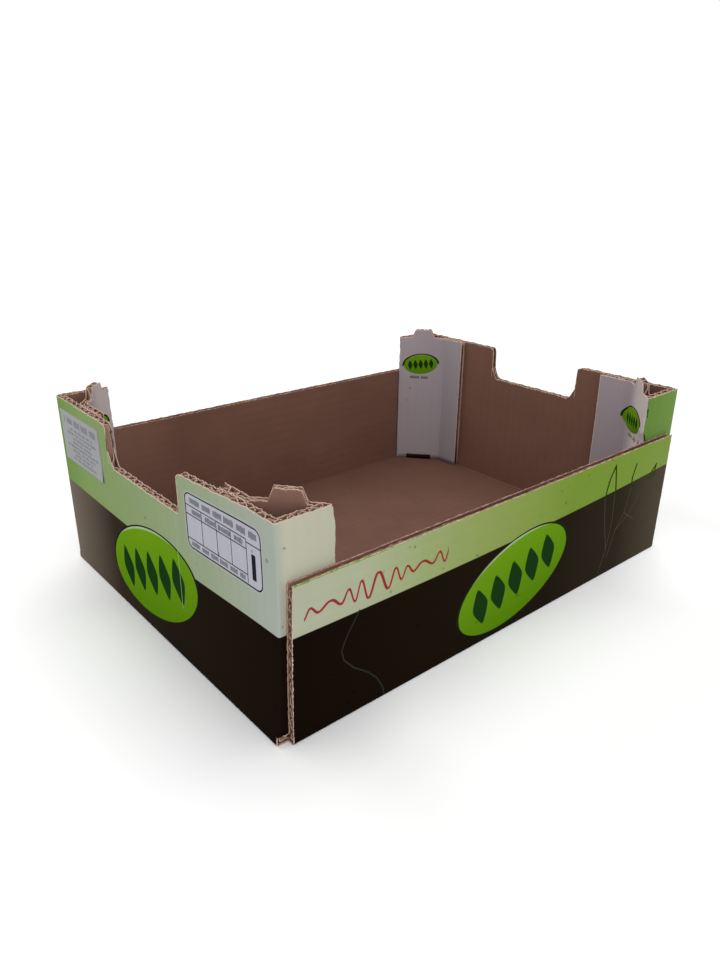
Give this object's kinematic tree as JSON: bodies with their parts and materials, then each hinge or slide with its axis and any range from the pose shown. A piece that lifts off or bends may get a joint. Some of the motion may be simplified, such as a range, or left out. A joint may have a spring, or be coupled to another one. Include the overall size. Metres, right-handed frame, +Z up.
{
  "type": "cardboard tray box",
  "caption": "Open stacking tray folded from one sheet of corrugated board, with raised corner posts, hollow corner columns and stacking tabs.",
  "frame": {"origin": "middle of the footprint, on the surface that the tray stands on", "axes": "+X along the long walls, +Y along the end walls, +Z up out of the open top"},
  "size_m": [0.4001, 0.3, 0.148],
  "materials": {
    "board": "matte",
    "hot_melt": "satin",
    "label_paper": "matte"
  },
  "bodies": {
    "root": {"folded_tray": "board", "flap_glue": "hot_melt", "column_glue": "hot_melt", "paper_label": "label_paper"}
  },
  "joints": []
}
